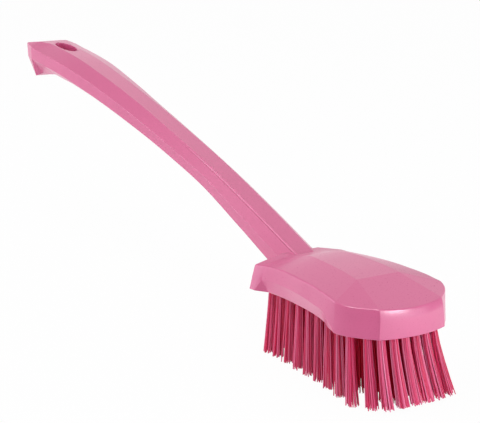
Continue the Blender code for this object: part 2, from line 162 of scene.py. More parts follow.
# %% Sections of the block
# Each row: share of the length back from the nose, then half widths and
# heights: deck edge, start of the recess (2), top edge (2), crown edge (2)
BLOCK_SECTIONS = np.array([
    (1.000, 0.958, 0.910, 0.278, 0.855, 0.574, 0.361, 0.740),
    (0.957, 0.943, 0.893, 0.273, 0.833, 0.604, 0.331, 0.740),
    (0.930, 0.880, 0.861, 0.278, 0.813, 0.623, 0.316, 0.749),
    (0.894, 0.789, 0.852, 0.305, 0.811, 0.646, 0.295, 0.780),
    (0.853, 0.771, 0.849, 0.336, 0.816, 0.668, 0.271, 0.834),
    (0.794, 0.747, 0.858, 0.363, 0.822, 0.700, 0.262, 0.915),
    (0.706, 0.726, 0.873, 0.390, 0.843, 0.735, 0.307, 0.973),
    (0.618, 0.720, 0.898, 0.408, 0.877, 0.758, 0.340, 0.996),
    (0.539, 0.723, 0.922, 0.417, 0.904, 0.771, 0.355, 1.000),
    (0.451, 0.741, 0.943, 0.399, 0.922, 0.776, 0.370, 0.996),
    (0.409, 0.759, 0.958, 0.390, 0.934, 0.776, 0.380, 0.987),
    (0.358, 0.837, 0.973, 0.386, 0.952, 0.769, 0.386, 0.973),
    (0.320, 0.904, 0.985, 0.354, 0.964, 0.762, 0.392, 0.960),
])
# In front of the crown a section has no crown edge
CHEEK_SECTIONS = np.array([
    (0.300, 0.931, 0.997, 0.278, 0.970, 0.753),
    (0.260, 0.958, 1.000, 0.166, 0.979, 0.735),
])
# The rear rows keep their corners, and the rest is smoothed to this many rows
REAR_ROWS = 3
BLOCK_STATIONS = 30


def smooth_rows(table, places):
    """Rows between the table's rows: a cubic on each span whose slope at a row
    is the harmonic mean of the slopes on both sides, so it never overshoots."""
    table = table[np.argsort(table[:, 0])]
    x, values = table[:, 0], table[:, 1:]
    step = np.diff(x)[:, None]
    slope = np.diff(values, axis=0) / step
    before, after = slope[:-1], slope[1:]
    product = before * after
    mean = np.where(product > 0, 2 * product / np.where(product > 0, before + after, 1.0), 0.0)
    tangent = np.vstack([slope[:1], mean, slope[-1:]])
    i = np.clip(np.searchsorted(x, places) - 1, 0, len(x) - 2)
    h = step[i]
    t = (np.asarray(places)[:, None] - x[i][:, None]) / h
    rows = ((2 * t**3 - 3 * t**2 + 1) * values[i] + (t**3 - 2 * t**2 + t) * h * tangent[i]
            + (3 * t**2 - 2 * t**3) * values[i + 1] + (t**3 - t**2) * h * tangent[i + 1])
    return np.column_stack([places, rows])


curved = BLOCK_SECTIONS[REAR_ROWS:]
stations = np.linspace(curved[0, 0], curved[-1, 0], BLOCK_STATIONS)
SECTION_ROWS = np.vstack([BLOCK_SECTIONS[:REAR_ROWS], smooth_rows(curved, stations)])
print("sections", len(BLOCK_SECTIONS), "smoothed to", len(SECTION_ROWS))

# %% [markdown]
# ## The finger recess and its lip
# Along both sides the real block is hollowed for the fingers, and the deck
# keeps a thin lip under the hollow. A sculpted dent would be hard to keep
# even, so the lip is one more line in each section: it lies out from the
# deck edge by a share of the recess, and fades away at the recess's ends.

# %% The section grid
RIM_OUT, RIM_START = 0.62, 0.12
RIM_RISE = 0.506
RIM_SPAN = (0.320, 0.430, 0.860, 0.935)


def block_points(share, across, height):
    """World points: the nose line minus a share of the length, the centre line
    plus a share of the half width, and the deck plus a share of the height."""
    places = (NOSE_X - np.asarray(share) * BLOCK_LENGTH,
              CENTRE_Y + np.asarray(across) * BLOCK_HALF_WIDTH,
              DECK_Z + np.asarray(height) * BLOCK_HEIGHT)
    return np.stack(np.broadcast_arrays(*places), axis=-1)


def rim_fade(share):
    """1 along the finger recess and 0 beyond its ends, by smooth steps."""
    front_low, front_high, rear_low, rear_high = RIM_SPAN
    t = np.minimum((share - front_low) / (front_high - front_low),
                   (rear_high - share) / (rear_high - rear_low))
    t = np.clip(t, 0, 1)
    return t * t * (3 - 2 * t)


def block_rings(rows):
    """World points of the section grid: shape (sections, 10, 3), five lines on
    the near side and their mirror images. The lip, the second line, lies out
    from the deck edge by a share of the recess, and rises with that share."""
    share, deck, split, split_height, top, top_height, crown, crown_height = rows.T
    fade = rim_fade(share)
    out = (RIM_START + (RIM_OUT - RIM_START) * fade) * (split - deck)
    rise = ((1 - fade) * RIM_START * split_height
            + fade * RIM_RISE * out * BLOCK_HALF_WIDTH / BLOCK_HEIGHT)
    widths = np.column_stack([deck, deck + out, split, top, crown])
    heights = np.column_stack([0 * deck, rise, split_height, top_height, crown_height])
    widths = np.hstack([-widths, widths[:, ::-1]])
    heights = np.hstack([heights, heights[:, ::-1]])
    return block_points(share[:, None], widths, heights)


rings = block_rings(SECTION_ROWS)
print("section grid", rings.shape)

# %% [markdown]
# ## The block, as a hard-edged surface
# The real block is injection moulded: flat and gently curved facets that meet
# in edges of about half a millimetre radius. It could be carved from a cube,
# but its facets change all along it, so here it is a grid: one direction runs
# along the sections, the other runs round the profile.
#
# Each edge that is rounded on the real thing gets a bevel weight, and a Bevel
# modifier rounds only those. A weight is a share of the modifier's width.

# %% A surface that remembers its soft edges
def edge_ends(mesh):
    """The two vertex numbers of every edge, shape (edges, 2)."""
    ends = np.empty(2 * len(mesh.edges), np.int32)
    mesh.edges.foreach_get("vertices", ends)
    return ends.reshape(-1, 2).astype(int)


def mesh_from(name, points, faces, soft=()):
    """A mesh of those faces, turned outward. Rows of soft are two vertex
    numbers and a weight, found among the edges by lower number x count +
    higher number."""
    mesh = bpy.data.meshes.new(name)
    mesh.from_pydata(np.asarray(points).tolist(), [], [list(map(int, face)) for face in faces])
    build = bmesh.new()
    build.from_mesh(mesh)
    bmesh.ops.recalc_face_normals(build, faces=build.faces)
    build.to_mesh(mesh)
    build.free()
    if len(soft):
        key = np.sort(edge_ends(mesh), axis=1) @ [len(points), 1]
        wanted = np.sort(soft[:, :2].astype(int), axis=1) @ [len(points), 1]
        order = np.argsort(key)
        weights = np.zeros(len(key), np.float32)
        weights[order[np.searchsorted(key, wanted, sorter=order)]] = soft[:, 2]
        attribute = mesh.attributes.new("bevel_weight_edge", "FLOAT", "EDGE")
        attribute.data.foreach_set("value", weights)
        print(name, len(soft), "soft edges,", int((~np.isin(wanted, key)).sum()), "missing")
    print(name, len(mesh.vertices), "vertices", len(mesh.polygons), "faces")
    return mesh


class Skin:
    """The points, faces and soft edges gathered for one closed surface."""

    def __init__(self):
        self.points, self.faces, self.soft = np.empty((0, 3)), [], []

    def add(self, points):
        """Takes in rows of points and returns their numbers."""
        first = len(self.points)
        self.points = np.vstack([self.points, points])
        return np.arange(first, len(self.points))

    def soften(self, line, weight):
        """One bevel weight, or one for each edge, along a line of points."""
        line = np.asarray(line)
        weights = np.broadcast_to(weight, len(line) - 1)
        self.soft.append(np.column_stack([line[:-1], line[1:], weights]))

    def mesh(self, name):
        """The gathered surface as a mesh."""
        return mesh_from(name, self.points, self.faces, np.vstack(self.soft))


# %% Skin the section grid
DECK_ROUND, RIM_ROUND, SPLIT_ROUND, TOP_ROUND, CROWN_ROUND = 0.25, 0.20, 0.08, 0.40, 0.18
# The crown's crease starts sharp at the rear and softens over a tenth of it
CREASE_START, CREASE_SPAN = 0.12, 0.1

block = Skin()
count, ring = rings.shape[:2]
grid = block.add(rings.reshape(-1, 3)).reshape(count, ring)
a, b = grid[:-1], grid[1:]
for column in range(4):
    for low, high in ((column, column + 1), (ring - 1 - column, ring - 2 - column)):
        upper = np.column_stack([a[:, low], b[:, high], a[:, high]])
        lower = np.column_stack([a[:, low], b[:, low], b[:, high]])
        if column == 1:
            # The recess begins here, and the fold runs the other way
            upper[2] = b[2, low], b[2, high], a[2, high]
            lower[2] = a[2, low], b[2, low], a[2, high]
        block.faces += [*upper, *lower]
block.faces += [*np.column_stack([a[:, 4], b[:, 4], b[:, 5], a[:, 5]])]
block.faces += [*np.column_stack([a[:, 0], b[:, 0], b[:, -1], a[:, -1]]), grid[0]]

recess = rim_fade((NOSE_X - rings[:-1, 0, 0]) / BLOCK_LENGTH)
crease = np.clip((np.linspace(0.0, 1.0, count - 1) - CREASE_START) / CREASE_SPAN, 0.0, 1.0)
for column, weight in enumerate((DECK_ROUND * (1 - recess), RIM_ROUND * recess, SPLIT_ROUND,
                                 TOP_ROUND, CROWN_ROUND * crease)):
    block.soften(grid[:, column], weight)
    block.soften(grid[:, ring - 1 - column], weight)
block.soften(grid[0, np.arange(ring + 1) % ring], DECK_ROUND)
print("grid of", count, "sections,", len(block.faces), "faces")

# %% [markdown]
# ## The cheeks
# In front of the crown the sides swell into two cheeks, and the recess runs
# out on them. There the section has fewer lines, which a grid can't show, so
# these few facets are listed one by one, the near side and then its mirror.

# %% Skin the start of the cheeks
CHEEK_END_ROUND = 0.30

crown, cheek_top, deck_line = {}, {}, {}
for side, section in ((-1, grid[-1, :5]), (1, grid[-1, :4:-1])):
    deck, rim, split, top, crown[side] = section
    deck_line[side] = [deck]
    for row, (share, deck_w, split_w, split_h, top_w, top_h) in enumerate(CHEEK_SECTIONS):
        new_deck, new_split, new_top = block.add(
            block_points(share, side * np.array([deck_w, split_w, top_w]), [0, split_h, top_h]))
        if row == 0:
            # The lip ends in one facet, and its point takes the deck's place
            block.faces.append((deck, new_deck, rim))
            deck = rim
        block.faces += [(deck, new_split, split), (deck, new_deck, new_split),
                        (split, new_top, top), (split, new_split, new_top),
                        (top, new_top, crown[side])]
        block.soften([split, new_split], SPLIT_ROUND)
        block.soften([top, new_top], TOP_ROUND)
        deck_line[side].append(new_deck)
        deck, split, top = new_deck, new_split, new_top
    end_top, foot = block.add(block_points([CHEEK_TOP[0], CHEEK_FOOT[0]],
                                           side * np.array([CHEEK_TOP[1], CHEEK_FOOT[1]]),
                                           [CHEEK_TOP[2], 0]))
    block.faces += [(split, top, end_top), (split, end_top, foot), (deck, split, foot),
                    (top, end_top, crown[side])]
    block.soften([top, end_top], TOP_ROUND)
    block.soften([split, foot], SPLIT_ROUND)
    block.soften([end_top, foot], CHEEK_END_ROUND)
    cheek_top[side] = end_top
    deck_line[side].append(foot)
    block.soften(deck_line[side], DECK_ROUND)
print("cheeks begun,", len(block.faces), "faces")

# %% [markdown]
# ## The nose
# The nose is one broad facet, bowed forward, whose upper edge is cushioned:
# over its top five millimetres the facet swells out by less than a
# millimetre. That is what catches the thin line of light under the edge. A
# wide bevel would round the crown too, so instead the swelling is a few rows
# of points, each a little further out, under a small bevel.

# %% Skin the nose
NOSE_SEGMENTS = 24
CUSHION_DROP, CUSHION_OUT = 0.0050, 0.0007
CUSHION_ROWS = (0.16, 0.36, 0.64, 1.0)
NOSE_TOP_ROUND = 0.30

across = np.linspace(-1, 1, NOSE_SEGMENTS + 1)
bow = 1 - across**2
x_top, z_top = NOSE_X - NOSE_TOP[0] * BLOCK_LENGTH, DECK_Z + NOSE_TOP[2] * BLOCK_HEIGHT
x_foot = NOSE_X - NOSE_FOOT[0] * BLOCK_LENGTH
crown_x, _, crown_z = block.points[crown[-1]]
# The bowed edge stays on the plane that runs down from the crown
slope = (crown_z - z_top) / (x_top - crown_x)
edge_x = x_top + NOSE_TOP_BOW * bow
upper = np.column_stack([edge_x, CENTRE_Y + across * NOSE_TOP[1] * BLOCK_HALF_WIDTH,
                         z_top - slope * (edge_x - x_top)])
lower = np.column_stack([x_foot + NOSE_BOW * bow,
                         CENTRE_Y + across * NOSE_FOOT[1] * BLOCK_HALF_WIDTH,
                         np.full(len(bow), DECK_Z)])
tops, feet = block.add(upper), block.add(lower)
nose_lines = [tops]
for row in CUSHION_ROWS:
    line = upper + row * CUSHION_DROP / (upper[:, 2:] - lower[:, 2:]) * (lower - upper)
    line[:, 0] += CUSHION_OUT * (1 - (1 - row) ** 2)
    nose_lines.append(block.add(line))
nose_lines.append(feet)
for above, below in zip(nose_lines[:-1], nose_lines[1:]):
    block.faces += [*np.column_stack([below[:-1], below[1:], above[1:], above[:-1]])]
block.faces.append([crown[-1], *tops, crown[1]])
block.soften(tops, NOSE_TOP_ROUND)
block.soften(feet, DECK_ROUND)
print("nose of", len(nose_lines), "lines,", NOSE_SEGMENTS, "segments")

# %% [markdown]
# ## The bowed cheek facets
# Between cheek and nose each side is one upright facet that bows outward, as
# a barrel's stave does. Its upper edge also has to stay on the plane of the
# crown facet above it, or that facet would buckle. So both edges are worked
# out as curves, and strips of flat quads join them.

# %% Skin the cheeks' fronts and close the deck
CHEEK_SEGMENTS = 12
CHEEK_BOW, CHEEK_SKEW = 0.0017, 0.6
CORNER_ROUND, CROWN_CHEEK_ROUND = 0.12, 0.16


def bowed(skin, start, end, inner):
    """Numbers of the points from start to end, bowed outward by 4t(1 - t) times
    (1 + skew(1 - 2t)), on the plane through them and an inner point, or level
    without one."""
    a, b = skin.points[start], skin.points[end]
    run = b[:2] - a[:2]
    out = np.array([-run[1], run[0]]) / np.linalg.norm(run) * np.sign(a[1] - CENTRE_Y)
    fall = 0.0
    if inner is not None:
        c = skin.points[inner]
        t = (c[:2] - a[:2]) @ run / (run @ run)
        fall = (c[2] - a[2] - t * (b[2] - a[2])) / -((c[:2] - a[:2]) @ out)
    t = np.arange(1, CHEEK_SEGMENTS) / CHEEK_SEGMENTS
    bow = CHEEK_BOW * 4 * t * (1 - t) * (1 + CHEEK_SKEW * (1 - 2 * t))
    middle = skin.add(a + t[:, None] * (b - a) + bow[:, None] * np.array([*out, -fall]))
    return np.array([start, *middle, end])


for side, end in ((-1, 0), (1, -1)):
    corner = [line[end] for line in nose_lines[::-1]]
    upper = bowed(block, cheek_top[side], corner[-1], crown[side])
    lower = bowed(block, deck_line[side][-1], corner[0], None)
    block.faces += [*np.column_stack([lower[:-1], lower[1:], upper[1:], upper[:-1]])[:-1]]
    block.faces.append((lower[-2], *corner, upper[-2]))
    block.faces.append((crown[side], *upper))
    block.soften(lower, DECK_ROUND)
    block.soften(upper, TOP_ROUND)
    block.soften(corner, CORNER_ROUND)
    block.soften([corner[-1], crown[side]], CROWN_ROUND)
    block.soften([crown[side], cheek_top[side]], CROWN_CHEEK_ROUND)
    deck_line[side] += list(lower[1:-1])
block.soften([crown[-1], crown[1]], CROWN_ROUND)
block.faces.append([*deck_line[-1], *feet, *deck_line[1][::-1]])
block_mesh = block.mesh("moulding")

# %% [markdown]
# ## The handle
# The handle is a profile carried along an arch: a flat top, a chamfer on each
# side, upright sides and a flat underside. Each profile is set square to the
# arch, so the handle keeps its thickness where the arch is steep. A curve
# object with a bevel shape could do this, but its profile can't change on the
# way, and this one widens, thins and grows a keel.

# %% The arch
HANDLE_REACH = 0.3216
HANDLE_RISE = 0.0693
HANDLE_HALF_WIDTH = 0.0172
HANDLE_THICKNESS = 0.0115
ROOT_HEIGHT = 0.834
HANDLE_STATIONS = 100
# Each row: share of the reach, share of the rise, half widths of the flat top
# and of the sides, depth of the chamfer, then depth of the side
HANDLE_SECTIONS = np.array([
    (-0.030, -0.043, 0.280, 0.657, 0.438, 0.640),
    (-0.013, -0.019, 0.285, 0.659, 0.437, 0.655),
    (0.121, 0.188, 0.302, 0.654, 0.420, 0.563),
    (0.254, 0.379, 0.313, 0.631, 0.387, 0.496),
    (0.388, 0.543, 0.324, 0.670, 0.403, 0.504),
    (0.523, 0.694, 0.324, 0.737, 0.420, 0.555),
    (0.661, 0.828, 0.341, 0.849, 0.378, 0.622),
    (0.801, 0.938, 0.352, 0.972, 0.353, 0.664),
    (0.897, 0.982, 0.350, 1.000, 0.335, 0.655),
])
# The same, then the lip's foot: share of the reach, half width and depth
HANDLE_END = np.array([
    (0.925, 0.993, 0.390, 1.000, 0.330, 0.650, 0.921, 0.430, 0.78),
    (0.953, 1.000, 0.560, 0.990, 0.270, 0.690, 0.950, 0.520, 0.84),
    (1.000, 0.972, 0.740, 0.790, 0.040, 0.780, 0.967, 0.700, 1.00),
])


def handle_line(share):
    """x and z of the arch's top centre: back from the block by the share of the
    reach, and up by the matching share of the rise."""
    share = np.atleast_1d(share)
    rows = np.vstack([HANDLE_SECTIONS[:, :2], HANDLE_END[:, :2]])
    rise = smooth_rows(rows, share)[:, 1]
    root = DECK_Z + ROOT_HEIGHT * BLOCK_HEIGHT
    return REAR_X - share * HANDLE_REACH, root + rise * HANDLE_RISE


print("the arch ends at x, z", *(float(value[0].round(4)) for value in handle_line(1.0)))

# %% [markdown]
# ## The keel, the lip and the sunk line
# Under its end the handle grows a keel round the hanging hole and drops into
# a lip, which on the real brush keeps it from slipping off the rim of a
# bucket. Along the lower third a fine line is sunk into each chamfer, just
# under the flat top. All of it is done by the profile's own points: on each
# side the lowest one moves in and down for the keel and the lip, and three
# high ones make the line's two banks and its bed.

# %% The profiles
LIP_DEPTH = 0.0125
GROOVE_PLACE, GROOVE_WIDTH, GROOVE_DEPTH = 0.0005, 0.0011, 0.0003
GROOVE_FADE = (0.24, 0.40)
DIRECTION_STEP = 0.004
# Each row: share of the reach, how far in, and how far down
KEEL = np.array([
    (-0.030, 0.070, 0.104),
    (0.660, 0.070, 0.104),
    (0.739, 0.105, 0.157),
    (0.780, 0.310, 0.365),
    (0.825, 0.517, 0.590),
    (0.894, 0.593, 0.713),
    (0.925, 0.570, 0.860),
])


def handle_profiles():
    """Shares of the reach, and profiles of seven points on each half, shape
    (profiles, 7, 3). A point is the line's point minus its depth along the
    line's normal, and its half width. Points 1 to 3 are the sunk line: down the
    chamfer by a constant length, the middle one sunk square to the chamfer."""
    rows = np.vstack([HANDLE_SECTIONS, HANDLE_END[:, :6]])
    places = np.linspace(HANDLE_SECTIONS[0, 0], HANDLE_END[0, 0], HANDLE_STATIONS)
    table = np.vstack([smooth_rows(rows, places), HANDLE_END[1:, :6]])
    share, _, flat, half, drop, side = table.T
    _, inset, sink = smooth_rows(KEEL, np.minimum(share, KEEL[-1, 0])).T
    x, z = handle_line(share)
    x_back, z_back = handle_line(np.minimum(share + DIRECTION_STEP, 1.0))
    x_front, z_front = handle_line(share - DIRECTION_STEP)
    length = np.hypot(x_back - x_front, z_back - z_front)
    normal = np.column_stack([(z_back - z_front) / length, (x_front - x_back) / length])
    flat, half = flat * HANDLE_HALF_WIDTH, half * HANDLE_HALF_WIDTH
    depth = drop * HANDLE_THICKNESS
    low = depth + side * HANDLE_THICKNESS
    slant = np.hypot(half - flat, depth)
    across, down = (half - flat) / slant, depth / slant
    start, end = GROOVE_FADE
    groove = GROOVE_DEPTH * np.clip((end - share) / (end - start), 0, 1)
    place = np.minimum(GROOVE_PLACE, slant / 4)
    width = np.minimum(GROOVE_WIDTH, slant / 4)
    lines = [(flat, 0 * depth)]
    for along, sunk in ((place, 0), (place + width / 2, groove), (place + width, 0)):
        lines.append((flat + across * along - down * sunk, down * along + across * sunk))
    lines += [(half, depth), (half, low),
              (half - inset * HANDLE_HALF_WIDTH, low + sink * HANDLE_THICKNESS)]
    profile = np.empty((len(share), len(lines), 3))
    for i, (y, deep) in enumerate(lines):
        profile[:, i] = np.column_stack([x - normal[:, 0] * deep, y, z - normal[:, 1] * deep])
    _, _, _, _, _, _, foot_share, foot_half, foot_depth = HANDLE_END[1:].T
    profile[-2:, -1] = np.column_stack([REAR_X - foot_share * HANDLE_REACH,
                                        foot_half * HANDLE_HALF_WIDTH,
                                        z[-2:] - low[-2:] - foot_depth * LIP_DEPTH])
    return share, profile


shares, half_profiles = handle_profiles()
profiles = np.concatenate([half_profiles * [1, -1, 1], half_profiles[:, ::-1]], axis=1)
profiles[:, :, 1] += CENTRE_Y
print("handle profiles", profiles.shape)

# %% Skin the handle
END_ROUND, LIP_ROUND = 0.6, 0.4
# Line of the profile and its bevel weight: the flat's edge, the sunk line's
# two banks, the chamfer's edge, the side's low edge and the keel's edge
HANDLE_ROUNDS = ((0, 0.4), (1, 0.28), (3, 0.32), (4, 0.6), (5, 0.5), (6, 0.5))
GROOVE_BANKS = (1, 3)

skin = Skin()
count, ring = profiles.shape[:2]
low = ring // 2 - 2
grid = skin.add(profiles.reshape(-1, 3)).reshape(count, ring)
beside = np.roll(grid, -1, axis=1)
quads = np.stack([grid[:-1], beside[:-1], beside[1:], grid[1:]], axis=-1)
under = np.isin(np.arange(ring), (low, low + 2))
skin.faces += [*quads[:, ~under].reshape(-1, 4)]
# Quads under the side are split from its low edge, so that they fold one way
skin.faces += [*quads[:, low][:, [[0, 1, 2], [0, 2, 3]]].reshape(-1, 3)]
skin.faces += [*quads[:, low + 2][:, [[1, 0, 3], [1, 3, 2]]].reshape(-1, 3)]
skin.faces += [grid[0], grid[-1]]

in_groove = shares[:-1] < GROOVE_FADE[1]
for column, weight in HANDLE_ROUNDS:
    weights = weight * in_groove if column in GROOVE_BANKS else weight
    skin.soften(grid[:, column], weights)
    skin.soften(grid[:, ring - 1 - column], weights)
last, before = grid[-1], grid[-2]
skin.soften(last[[-1, 0, 1]], END_ROUND)
skin.soften(last[low - 1:ring - low + 2], END_ROUND)
for pair in ((before[low], last[low + 1]), (before[low + 3], last[low + 2]),
             before[[low - 1, low]], before[[low + 3, low + 4]]):
    skin.soften(pair, LIP_ROUND)
handle_mesh = skin.mesh("handle")

# %% [markdown]
# ## From surfaces to one moulding
# Block and handle leave the mould as one piece, so a Boolean joins them. The edges are rounded
# first, each part at its own radius, because a bevel after the Boolean would meet hundreds of
# small cut faces. The rounded edges get a material slot of their own on the handle, which paints a
# highlight along them.

# %% Objects and modifiers
def new_object(name, mesh):
    """An object at the origin for that mesh."""
    obj = bpy.data.objects.new(name, mesh)
    bpy.context.scene.collection.objects.link(obj)
    return obj


def apply_modifiers(obj):
    """Keeps the evaluated mesh and drops the modifiers."""
    bpy.context.view_layer.update()
    evaluated = obj.evaluated_get(bpy.context.evaluated_depsgraph_get())
    mesh = bpy.data.meshes.new_from_object(evaluated)
    obj.modifiers.clear()
    old, obj.data = obj.data, mesh
    name = old.name
    bpy.data.meshes.remove(old)
    mesh.name = name


def round_edges(obj, width, slot):
    """Rounds the weighted edges to that width with six steps, in that slot."""
    bevel = obj.modifiers.new("soft edges", "BEVEL")
    bevel.limit_method = "WEIGHT"
    bevel.width = width
    bevel.segments = 6
    bevel.use_clamp_overlap = True
    bevel.material = slot
    apply_modifiers(obj)
    print(obj.name, len(obj.data.polygons), "faces with rounded edges")


def combine(obj, other, operation):
    """Joins or cuts with an exact Boolean and takes the other away."""
    boolean = obj.modifiers.new("combine", "BOOLEAN")
    boolean.operation = operation
    boolean.solver = "EXACT"
    boolean.object = other
    apply_modifiers(obj)
    print(obj.name, len(obj.data.polygons), "faces after", operation.lower(), "with", other.name)
    bpy.data.objects.remove(other, do_unlink=True)


# %% Join the block and the handle
BLOCK_ROUNDING, HANDLE_ROUNDING = 0.0018, 0.0008
FACES_SLOT, PAINTED_HIGHLIGHT_SLOT = 0, 1
faces_plastic = bpy.data.materials.new("pink moulded plastic")
# This material paints a highlight along the handle's rounded edges
edges_plastic_painted_highlight = bpy.data.materials.new("pink moulded plastic, edges")

moulding, handle = new_object("moulding", block_mesh), new_object("handle", handle_mesh)
for piece, width, slot in ((moulding, BLOCK_ROUNDING, FACES_SLOT),
                           (handle, HANDLE_ROUNDING, PAINTED_HIGHLIGHT_SLOT)):
    piece.data.materials.append(faces_plastic)
    piece.data.materials.append(edges_plastic_painted_highlight)
    round_edges(piece, width, slot)
combine(moulding, handle, "UNION")

# %% [markdown]
# ## The tufts' places
# A tufting machine drills the deck in rows: an outer ring that follows the
# rim, a straight row at the rear and three inner columns. The places are the
# same as the CAD's, so each bundle fills its own hole.

# %% Work out the tufts' places
# Share of the length back from the nose, and share of the half width
SIDE_TUFTS = np.array([(0.951, 0.602), (0.882, 0.590), (0.794, 0.587),
                       (0.706, 0.590), (0.618, 0.600), (0.529, 0.610),
                       (0.431, 0.633), (0.333, 0.663), (0.216, 0.729)])
CHEEK_TUFTS = np.array([(0.132, 0.599)])
FRONT_TUFTS = np.array([(0.080, 0.479), (0.065, 0.286), (0.059, 0.096)])
REAR_ROW, REAR_WIDTH, REAR_TUFTS = 0.951, 0.602, 3
INNER_REAR, INNER_NOSE, INNER_WIDTH = 0.863, 0.147, 0.294
INNER_ROWS, INNER_COLUMNS = 9, 3


def named(kind, places):
    """Each place of a kind of tuft with its name, numbered from 01."""
    return [("%s_%02d" % (kind, i + 1), *place) for i, place in enumerate(places)]


def tuft_table():
    """Name, share of the length and share of the half width of every tuft."""
    rows = []
    for kind, shares in (("side", SIDE_TUFTS), ("cheek", CHEEK_TUFTS), ("front", FRONT_TUFTS)):
        rows += named(kind, np.vstack([shares * [1, -1], shares]))
    across = 2 * (np.arange(REAR_TUFTS) + 1) / (REAR_TUFTS + 1) - 1
    rows += named("rear", np.column_stack([np.full(REAR_TUFTS, REAR_ROW), across * REAR_WIDTH]))
    along, over = np.meshgrid(np.linspace(INNER_REAR, INNER_NOSE, INNER_ROWS),
                              np.linspace(-1, 1, INNER_COLUMNS), indexing="ij")
    return rows + named("inner", np.column_stack([along.ravel(), over.ravel() * INNER_WIDTH]))


TUFTS = tuft_table()
TUFT_BASE = block_points([row[1] for row in TUFTS], [row[2] for row in TUFTS], 0)[:, :2]
print(len(TUFTS), "tufts, x from", TUFT_BASE[:, 0].min().round(4),
      "to", TUFT_BASE[:, 0].max().round(4))

# %% [markdown]
# ## The holes
# The hanging hole is an oval through the end of the handle, which flares
# towards the underside so that it leaves the mould and slips over a peg. The
# tuft holes are blind, 10 mm deep. Plain prisms cut both kinds, one prism
# for every hole, all in one mesh.

# %% Cut the holes
HANG_HOLE_PLACE, HANG_HOLE_LENGTH, HANG_HOLE_WIDTH = 0.890, 0.0270, 0.0100
FLARE_START, FLARE_LENGTH, FLARE_WIDTH = 0.0080, 1.080, 2.100
TUFT_HOLE_RADIUS, TUFT_HOLE_DEPTH = 0.0023, 0.0100
CUT_OVERRUN = 0.0040
HANG_HOLE_SIDES, TUFT_HOLE_SIDES = 48, 16


def circle(sides):
    """Points round a circle of radius 1."""
    angle = np.linspace(0, 2 * math.pi, sides, endpoint=False)
    return np.column_stack([np.cos(angle), np.sin(angle)])


def stack_mesh(name, centres, outlines, heights):
    """Solids through outlines in plan, the same stack at every centre: each
    outline's points at its height, lowest first, and quads between the rings."""
    levels, sides = len(heights), outlines.shape[1]
    ring = centres[:, None, None, :] + outlines[None]
    z = np.broadcast_to(np.asarray(heights)[None, :, None, None], ring.shape[:3] + (1,))
    points = np.concatenate([ring, z], axis=3).reshape(-1, 3)
    number = np.arange(len(points)).reshape(len(centres), levels, sides)
    following = np.roll(number, -1, axis=2)
    quads = np.stack([number[:, :-1], following[:, :-1], following[:, 1:], number[:, 1:]], axis=-1)
    caps = np.concatenate([number[:, 0, ::-1], number[:, -1]])
    return mesh_from(name, points, [*quads.reshape(-1, 4), *caps])


hole_x, hole_z = (float(value[0]) for value in handle_line(HANG_HOLE_PLACE))
oval = circle(HANG_HOLE_SIDES) * [HANG_HOLE_LENGTH / 2, HANG_HOLE_WIDTH / 2]
cutter = stack_mesh("hanging hole", np.array([[hole_x, CENTRE_Y]]),
                    np.array([oval * [FLARE_LENGTH, FLARE_WIDTH], oval, oval]),
                    [hole_z - HANDLE_THICKNESS - LIP_DEPTH - CUT_OVERRUN, hole_z - FLARE_START,
                     hole_z + CUT_OVERRUN])
combine(moulding, new_object("hanging hole", cutter), "DIFFERENCE")
round_hole = circle(TUFT_HOLE_SIDES) * TUFT_HOLE_RADIUS
cutter = stack_mesh("tuft holes", TUFT_BASE, np.array([round_hole, round_hole]),
                    [DECK_Z - CUT_OVERRUN, DECK_Z + TUFT_HOLE_DEPTH])
combine(moulding, new_object("tuft holes", cutter), "DIFFERENCE")

# %% [markdown]
# ## The hole's rim and the shading
# The rim of the hanging hole is rounded after the cut, since it is born with
# it. Then the facets get flat normals right up to their rounded edges, which
# makes a bevelled mesh look moulded instead of puffy.

# %% Round the rim and set the normals
HOLE_ROUNDING = 0.0005
RIM_HEIGHT, RIM_TOLERANCE, RIM_ANGLE = 0.004, 0.01, 0.5
SHARP_ANGLE = math.radians(17)


def soften_hanging_hole(mesh, radius):
    """Rounds the upper rim of the hanging hole: the edges whose two ends lie on
    the oval, near the top, and whose faces meet at more than a set angle."""
    place = np.empty(3 * len(mesh.vertices), np.float32)
    mesh.vertices.foreach_get("co", place)
    x, y, z = place.reshape(-1, 3).astype(float).T
    u, v = (x - hole_x) / (HANG_HOLE_LENGTH / 2), (y - CENTRE_Y) / (HANG_HOLE_WIDTH / 2)
    on_rim = (np.abs(np.hypot(u, v) - 1) < RIM_TOLERANCE) & (z > hole_z - RIM_HEIGHT)
    candidates = np.flatnonzero(on_rim[edge_ends(mesh)].all(axis=1))
    build = bmesh.new()
    build.from_mesh(mesh)
    build.edges.ensure_lookup_table()
    edges = [build.edges[number] for number in candidates.tolist()]
    chosen = [edge for edge in edges
              if len(edge.link_faces) == 2 and edge.calc_face_angle(0.0) > RIM_ANGLE]
    bmesh.ops.bevel(build, geom=chosen, offset=radius, segments=3, profile=0.5, affect="EDGES",
                    clamp_overlap=True)
    build.to_mesh(mesh)
    build.free()
    print("hanging hole:", len(chosen), "rim edges rounded")


soften_hanging_hole(moulding.data, HOLE_ROUNDING)
moulding.data.shade_smooth()
moulding.data.set_sharp_from_angle(angle=SHARP_ANGLE)
weighted = moulding.modifiers.new("flat facets", "WEIGHTED_NORMAL")
weighted.keep_sharp = True
weighted.weight = 50
apply_modifiers(moulding)
print("moulding", len(moulding.data.polygons), "faces")

# %% [markdown]
# ## Bristle bundles
# A tuft is a bundle of filaments, folded over its staple at the bottom of the
# hole. Below the deck the filaments spread a little, and each bends its own
# way, so the trimmed end is ragged. The ring's tufts lean outward, and the
# whole field has taken a slight set from use. Hair particles could draw them,
# but the part is exported as meshes, so each filament is a thin tube: a small
# ring of points carried along a path of a few steps.

